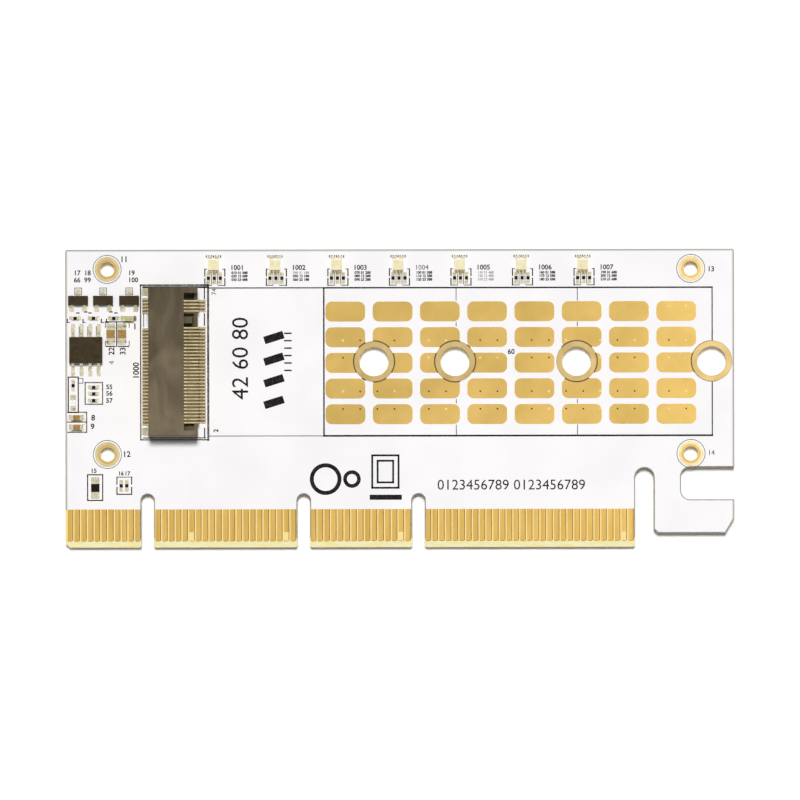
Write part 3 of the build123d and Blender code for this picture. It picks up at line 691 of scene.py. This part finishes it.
def padPlate(centreX, centreY, steps=(25, 7)):
    halfX, halfY = pads["half"]
    axis, ring = modulePrint["axis"], pads["ring"]
    run = np.sin(np.linspace(-np.pi / 2, np.pi / 2, steps[0]))
    middleRow = abs(centreY - axis) < halfY
    if middleRow:
        s = run * halfY
        high = edgeDistance(s, halfY, halfX, pads["corner"])
        low = -high
        reach = np.sqrt(ring ** 2 - (s + centreY - axis) ** 2)
        for holeX in modulePrint["holes"]:
            if abs(holeX - centreX) > halfX + ring:
                continue
            if holeX > centreX:
                high = np.minimum(high, holeX - reach - centreX)
            else:
                low = np.maximum(low, holeX + reach - centreX)
    else:
        s = run * halfX
        high = edgeDistance(s, halfX, halfY, pads["corner"])
        low = -high
        for holeX in modulePrint["holes"]:
            reach = np.sqrt(np.maximum(ring ** 2 - (s + centreX - holeX) ** 2, 0))
            if centreY > axis:
                low = np.maximum(low, axis + reach - centreY)
            else:
                high = np.minimum(high, axis - reach - centreY)
    t = np.sin(np.linspace(0, np.pi / 2, steps[1])) ** 2
    width = low[:, None] + (high - low)[:, None] * t
    length = np.broadcast_to(s[:, None], width.shape)
    x, y = (width, length) if middleRow else (length, width)
    border = np.ones(x.shape, bool)
    border[1:-1, 1:-1] = False
    z = np.where(border, padTopZ - pads["edge"] * mm, padTopZ)
    placeX, placeY = spot(x + centreX, y + centreY)
    top = np.stack([placeX, placeY, z], 2).reshape(-1, 3)
    bottom = top.copy()
    bottom[:, 2] = faceZ
    return np.concatenate([top, bottom]), gridFaces(*steps, flip=middleRow)


# faces of a closed plate: its grid on top, the same grid below, and a wall round both
def gridFaces(rows, columns, flip=False):
    i, j = np.meshgrid(np.arange(rows - 1), np.arange(columns - 1), indexing="ij")
    a = (i * columns + j).ravel()
    upper = np.stack([a, a + columns, a + columns + 1, a + 1], 1)
    lower = upper[:, ::-1] + rows * columns
    down, across = np.arange(rows - 1) * columns, np.arange(columns - 1)
    last = rows * columns - 1
    loop = np.concatenate([down, down[-1] + columns + across, last - down, columns - 1 - across])
    after = np.roll(loop, -1)
    wall = np.stack([loop, loop + rows * columns, after + rows * columns, after], 1)
    faces = np.concatenate([upper, lower, wall])
    return (faces[:, ::-1] if flip else faces).tolist()


plates = [padPlate(x, y) for y in padYs for x in padXs]
piece = newPiece("rounded_cooling_pads", *joinMeshes(plates), goldMaterial, "gold_plating")
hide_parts("cooling_pads")
print("cooling pads done:", len(plates))


# Plated barrels: a thin gold sleeve in each hole, with a round lip at the component side
barrels = {"film": 0.03, "lip": 0.05, "lipSteps": 5, "foot": 0.01, "under": 0.001, "proud": 0.003,
           "standoff": 2.2, "heatsink": 1.1, "band": (1.15, 1.42), "bandUnder": 0.01, "bandProud": 0.004}


def barrel(x, y, radius):
    top, crown = padTopZ / mm, padTopZ / mm + barrels["proud"]
    inner, lip = radius - barrels["film"], barrels["lip"]
    turn = np.linspace(0, np.pi / 2, barrels["lipSteps"])
    profile = [(radius, barrels["foot"]), (radius, top - barrels["under"]), (inner + lip, crown)]
    profile += [(inner + lip - lip * math.sin(a), crown - lip + lip * math.cos(a)) for a in turn[1:]]
    profile.append((inner, barrels["foot"]))
    return turned(x, y, profile, 48)


sleeves = [barrel(x, modulePrint["axis"], barrels["standoff"]) for x in modulePrint["holes"]]
sleeves += [barrel(x, y, barrels["heatsink"]) for x, y in modulePrint["smallHoles"]]
newPiece("plated_barrels", *joinMeshes(sleeves), ringMaterial, "gold_plating", 50)

# the small rims carry a darker gold band round the lip: painted shade of the rounded lip
low, high = padTopZ / mm - barrels["bandUnder"], padTopZ / mm + barrels["bandProud"]
bands = [flatRing(x, y, *barrels["band"], low, high) for x, y in modulePrint["smallHoles"]]
newPiece("small_rim_shade_bands", *joinMeshes(bands), goldMaterial, "gold_plating")
print("barrels done")


# Edge contacts: painted shade, as dark bars for the copper's wall in shadow at the right of each finger, and
# for the shaded cut end at its foot
fingers = {"count": 82, "leftOut": (33, 34, 50, 51), "keyX": 12.15, "beforeKey": 11, "toKey": 1.5,
           "width": 0.7, "wall": 0.11, "wallYs": (1.08, 5.6), "wallDepth": 0.04, "wallHeight": 0.02,
           "footHalf": 0.25, "footY": 0.95, "footWidth": 0.07, "footDepth": 0.1, "footHeight": 0.062}
number = np.array([n for n in range(1, fingers["count"] + 1) if n not in fingers["leftOut"]])
fingerXs = np.where(number <= fingers["beforeKey"],
                    fingers["keyX"] - fingers["toKey"] + number - fingers["beforeKey"],
                    fingers["keyX"] + fingers["toKey"] + number - fingers["beforeKey"] - 1)
low, high = fingers["wallYs"]
walls = [(x, low, x, high, fingers["wall"]) for x in fingerXs + fingers["width"] / 2 + fingers["wall"] / 2]
half, y = fingers["footHalf"], fingers["footY"]
feet = [(x - half, y, x + half, y, fingers["footWidth"]) for x in fingerXs]
parts = [barShells(walls, faceZ - fingers["wallDepth"] * mm, fingers["wallHeight"]),
         barShells(feet, faceZ - fingers["footDepth"] * mm, fingers["footHeight"])]
newPiece("finger_shadow_edges", *joinMeshes(parts), shadeMaterial)
print("finger edges done")


# Solder: a mound on each land, high at the terminal and thin at the land's end
# u runs outward along the land from 0 to 1, v across it from -1 to 1
# height = climb * (1 - u)^2 * (1 - v^4) + rim * (1 - v^6), the rim falling off over the last part of u
# each land: where it starts, its direction in quarter turns, its length, its width and the solder's climb
solderLook = {"rim": 0.02, "steps": 9, "fall": 5, "end": 0.15, "narrowing": 0.3,
              "overhang": 0.12, "climbShare": 0.4}


def mounds(places, rim=solderLook["rim"]):
    look = solderLook
    rows = np.asarray(places, float)
    size = look["steps"]
    u, v = np.meshgrid(np.linspace(0, 1, size), np.linspace(-1, 1, size), indexing="ij")
    startX, startY = spot(rows[:, 0], rows[:, 1])
    angle = rows[:, 2] * np.pi / 2
    length, width, climb = (rows[:, i][:, None, None] * mm for i in (3, 4, 5))
    body = climb * (1 - u) ** 2 * (1 - v ** 4)
    body += rim * mm * (1 - v ** 6) * np.minimum(1, (1 - u) * look["fall"] + look["end"])
    # the land's outer corners are round
    along, across = length * u, width / 2 * v * (1 - look["narrowing"] * u ** 6)
    cos, sin = np.cos(angle)[:, None, None], np.sin(angle)[:, None, None]
    x = startX[:, None, None] + along * cos - across * sin
    y = startY[:, None, None] + along * sin + across * cos
    top = np.stack([x, y, faceZ + body], 3).reshape(len(rows), -1, 3)
    bottom = top.copy()
    bottom[:, :, 2] = faceZ
    return joinShells(np.concatenate([top, bottom], 1), gridFaces(size, size))


# both ends of a chip, from its middle and size and from how far its lands reach out
def chipLands(x, y, upright, length, width, height, reach):
    return [(x + math.cos(turn * math.pi / 2) * length / 2, y + math.sin(turn * math.pi / 2) * length / 2,
             turn, reach, width + solderLook["overhang"], height * solderLook["climbShare"])
            for turn in ((1, 3) if upright else (0, 2))]


# length, width and height of each size of chip, and how far its lands reach out
chipSizes = {"small": (1.0, 0.5, 0.35, 0.38), "middle": (1.6, 0.8, 0.55, 0.4),
             "large": (2.0, 1.25, 0.8, 0.62)}
chipSpots = {
    ("small", False): ((1.47, 33.97), (4.18, 33.97), (7.19, 33.97), (4.2, 23.74), (4.2, 22.8), (4.2, 21.8)),
    ("small", True): ((1.14, 24.0), (8.24, 9.16), (9.06, 9.16)),
    ("middle", False): ((9.35, 33.9), (1.68, 19.26), (1.68, 17.85)),
    ("middle", True): ((1.14, 21.45),),
    ("large", True): ((6.73, 31.6), (8.39, 31.6), (4.4, 8.85)),
}
lampTrio = {"shift": 0.13, "pitch": 0.88, "y": 39.85}
lands = [land for (size, upright), places in chipSpots.items() for x, y in places
         for land in chipLands(x, y, upright, *chipSizes[size])]
lands += [land for x in lampXs + lampTrio["shift"] for side in (-1, 0, 1)
          for land in chipLands(x + side * lampTrio["pitch"], lampTrio["y"], True, *chipSizes["small"])]
newPiece("chip_solder", *mounds(lands), solderMaterial, "tin_plating", 60)

leads = {
    "regulator": {"xs": (1.145, 2.415, 3.685, 4.955), "y": 29.25, "reach": 2.6, "size": (1.3, 0.66, 0.12)},
    "transistor": {"xs": partPrint["tabLandXs"], "y": 36.6, "reach": 0.85, "side": 0.95,
                   "size": (0.85, 0.8, 0.1)},
    "pins": {"axis": modulePrint["axis"], "pitch": 0.25, "count": 75, "middle": 38, "key": (59, 66),
             "upperX": 12.35, "lowerX": 19.9, "size": (0.95, 0.27, 0.02), "cover": 0.2},
    "anchors": {"reach": 10.35, "size": (1.05, 1.25, 0.1)},
    "lamp": {"y": 41.8, "reach": 0.86, "shift": 0.5, "upper": (0.5, 0.8, 0.14), "lower": (0.3, 0.8, 0.1)},
}


def pinLands():
    look = leads["pins"]
    places = []
    for pin in range(1, look["count"] + 1):
        if look["key"][0] <= pin <= look["key"][1]:
            continue
        y = look["axis"] + (pin - look["middle"]) * look["pitch"]
        start = (look["upperX"], y, 2) if pin % 2 == 1 else (look["lowerX"], y, 0)
        places.append((*start, *look["size"]))
    return places


def leadLands():
    look = leads["regulator"]
    places = [(x, look["y"] + side * look["reach"], 2 - side, *look["size"])
              for x in look["xs"] for side in (1, -1)]
    look = leads["transistor"]
    for x in look["xs"]:
        places.append((x, look["y"] + look["reach"], 1, *look["size"]))
        places += [(x + shift, look["y"] - look["reach"], 3, *look["size"])
                   for shift in (-look["side"], look["side"])]
    look = leads["anchors"]
    places += [(leads["pins"]["upperX"], leads["pins"]["axis"] + reach, 2, *look["size"])
               for reach in (-look["reach"], look["reach"])]
    look = leads["lamp"]
    for x in lampXs:
        for shift in (-look["shift"], look["shift"]):
            places += [(x + shift, look["y"] + look["reach"], 1, *look["upper"]),
                       (x + shift, look["y"] - look["reach"], 3, *look["lower"])]
    return places


tails = mounds(pinLands(), leads["pins"]["cover"])
newPiece("socket_tail_solder", *tails, solderMaterial, "tin_plating", 60)
lands = leadLands()
newPiece("lead_solder", *mounds(lands), solderMaterial, "tin_plating", 60)

# the mask leaves a common window round each close row of lands, and bare laminate shows there, dark brown as
# painted shade between the tails
# each window row: its x, the two ends of each window, and the width
windows = {"rows": ((11.9, ((18.55, 31.95), (35.05, 36.45)), 1.0),
                    (20.2, ((18.85, 32.15), (35.35, 36.15)), 1.05)), "lift": 0.008}
bars = [(x, low, x, high, width) for x, ends, width in windows["rows"] for low, high in ends]
newPiece("laminate_windows", *barShells(bars, faceZ, windows["lift"]), shadedLaminateMaterial)
flux = {"ys": (40.74, 40.84), "shifts": (-0.5, 0.0, 0.5), "width": 0.24, "height": 0.16}
bars = [(x + shift, flux["ys"][0], x + shift, flux["ys"][1], flux["width"])
        for x in lampXs for shift in flux["shifts"]]
newPiece("lamp_flux_marks", *barShells(bars, faceZ, flux["height"]), fluxMaterial, "tin_plating")
print("solder done:", len(lands), "lead lands")


# Vias through the cooling pads, on a grid: a pale plug of resin, and where it did not fill, a dark disc of
# painted shade in the open bore
vias = {"pitch": 2.54, "firstX": 91.9, "columns": 22, "rows": (30.62, 28.05, 23.07, 20.47), "steps": 14,
        "corner": ((91.9, 35.68), (89.36, 35.68)), "edgeClear": 0.15, "holeClear": 3.4, "openShare": 0.6,
        "plug": ((0.19, -0.004), (0.18, 0.004), (0.14, 0.01), (0.1, 0.012), (0.02, 0.012)),
        "bore": ((0.13, -0.004), (0.13, 0.004), (0.1, 0.005), (0.05, 0.005), (0.02, 0.005))}


def viaShells(places, profile):
    stations = [(radius, padTopZ / mm + height) for radius, height in profile]
    return joinMeshes([turned(x, y, stations, vias["steps"], closed=False) for x, y in places])


def viaFits(x, y):
    toHoles = [math.hypot(x - holeX, y - modulePrint["axis"]) for holeX in modulePrint["holes"]]
    return np.abs(x - padXs).min() < pads["half"][0] - vias["edgeClear"] and min(toHoles) > vias["holeClear"]


columnXs = vias["firstX"] - vias["pitch"] * np.arange(vias["columns"])
grid = [(x, y) for x in columnXs for y in vias["rows"] if viaFits(x, y)]
grid += vias["corner"]
isOpen = rng.random(len(grid)) < vias["openShare"]
plugged = [place for place, opened in zip(grid, isOpen) if not opened]
newPiece("via_plugs", *viaShells(plugged, vias["plug"]), plugMaterial, "gold_plating", 50)
# open vias get a dark disc as painted shade in the bore
shadedBores = [place for place, opened in zip(grid, isOpen) if opened]
newPiece("via_bore_shade", *viaShells(shadedBores, vias["bore"]), epoxyMaterial, "gold_plating")
print("vias done:", len(grid))


# Light, floor and camera: a broad key leans in from the card's top edge, so shadows fall below its edges
# lengths in metres and angles in degrees
studio = {"lens": 300, "height": 0.987, "centre": (0.00003, -0.00026), "roll": -0.1,
          "floor": 2.0, "floorZ": -0.00002, "floorLift": 0.03, "ambient": 0.16,
          "keyTilt": 18, "keySpread": 13, "keyStrength": 2.84,
          "panel": {"at": (0.12, 0.0, 0.2), "size": 0.1, "watts": 0.07}}
half = studio["floor"]
floorMesh = bpy.data.meshes.new("floor")
floorCorners = [(-half, -half, 0), (half, -half, 0), (half, half, 0), (-half, half, 0)]
floorMesh.from_pydata(floorCorners, [], [(0, 1, 2, 3)])
floor = newObject("floor", floorMesh)
floor.location.z = studio["floorZ"]
floorMaterial, tree, bsdf, place = newMaterial("white paper floor", Roughness=0.9)
bsdf.inputs["Base Color"].default_value = srgb("#FCFCFC")
bsdf.inputs["Specular IOR Level"].default_value = 0.0
rays = addNode(tree, "ShaderNodeLightPath")
lift = mathNode(tree, "MULTIPLY", rays.outputs["Is Camera Ray"], studio["floorLift"])
bsdf.inputs["Emission Color"].default_value = (1, 1, 1, 1)
tree.links.new(lift, bsdf.inputs["Emission Strength"])
floorMesh.materials.append(floorMaterial)

world = bpy.data.worlds.new("studio")
world.use_nodes = True
bpy.context.scene.world = world
tree = world.node_tree
rays = addNode(tree, "ShaderNodeLightPath")
# metal and gloss show the same white as the background
mirrored = mathNode(tree, "MAXIMUM", rays.outputs["Is Camera Ray"], rays.outputs["Is Glossy Ray"])
clear = mathNode(tree, "MAXIMUM", mirrored, rays.outputs["Is Transmission Ray"])
level = rangeNode(tree, clear, 0.0, 1.0, studio["ambient"], 1.0)
background = tree.nodes["Background"]
background.inputs["Color"].default_value = (1, 1, 1, 1)
tree.links.new(level, background.inputs["Strength"])

key = bpy.data.lights.new("key", "SUN")
key.energy = studio["keyStrength"]
key.angle = math.radians(studio["keySpread"])
keyObject = newObject("key", key)
keyObject.rotation_euler = (-math.radians(studio["keyTilt"]), 0, 0)
keyObject.visible_glossy = False

panel = bpy.data.lights.new("panel", "AREA")
panel.shape = "DISK"
panel.size = studio["panel"]["size"]
panel.energy = studio["panel"]["watts"]
panelObject = newObject("panel", panel)
panelObject.location = studio["panel"]["at"]
panelObject.rotation_euler = (0, math.atan2(studio["panel"]["at"][0], studio["panel"]["at"][2]), 0)
panelObject.visible_diffuse = False

camera = bpy.data.cameras.new("camera")
camera.lens = studio["lens"]
camera.clip_start, camera.clip_end = 0.01, 10
cameraObject = newObject("camera", camera)
cameraObject.location = (*studio["centre"], faceZ + studio["height"])
# the photographed card is turned by a tenth of a degree
cameraObject.rotation_euler = (0, 0, math.radians(studio["roll"]))
bpy.context.scene.camera = cameraObject
bpy.context.scene.view_settings.view_transform = "Standard"
print("studio done")
